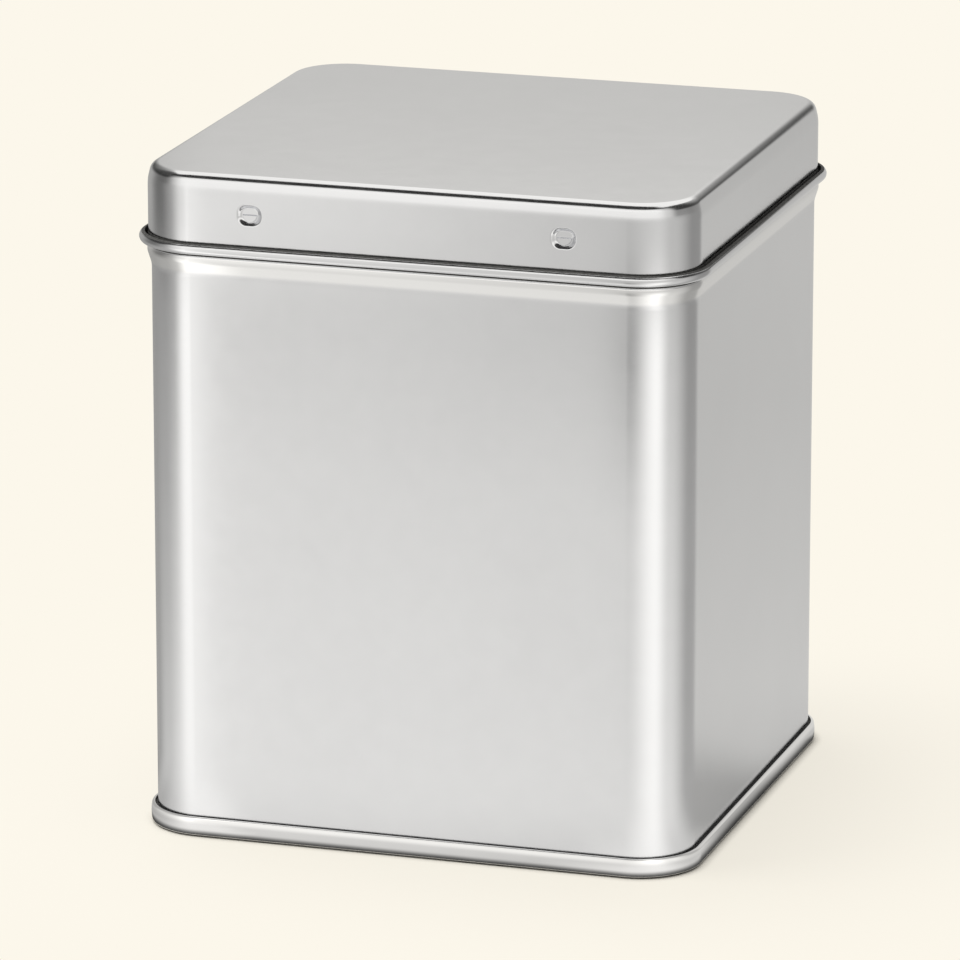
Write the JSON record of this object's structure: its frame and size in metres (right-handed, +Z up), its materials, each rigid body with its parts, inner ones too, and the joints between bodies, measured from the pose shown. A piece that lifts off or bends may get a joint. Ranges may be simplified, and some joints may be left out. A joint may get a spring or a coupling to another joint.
{
  "type": "tea tin",
  "caption": "Shut square tea tin of bare satin tinplate with rounded corners, a slip lid with a rolled edge and pressed pips, and a seamed base with a sunk panel.",
  "frame": {"origin": "on the ground under the middle of the tin, at the bottom centre of its bounding box", "axes": "+Z up, -Y out of the front, the shown side, and +X towards the front's right; the folded side seam is on the back, +Y"},
  "size_m": [0.0834, 0.0804, 0.0971],
  "materials": {
    "body": "satin tinplate",
    "lid": "satin tinplate",
    "base": "satin tinplate"
  },
  "bodies": {
    "root": {"body": "body", "lid": "lid", "base": "base"}
  },
  "joints": []
}
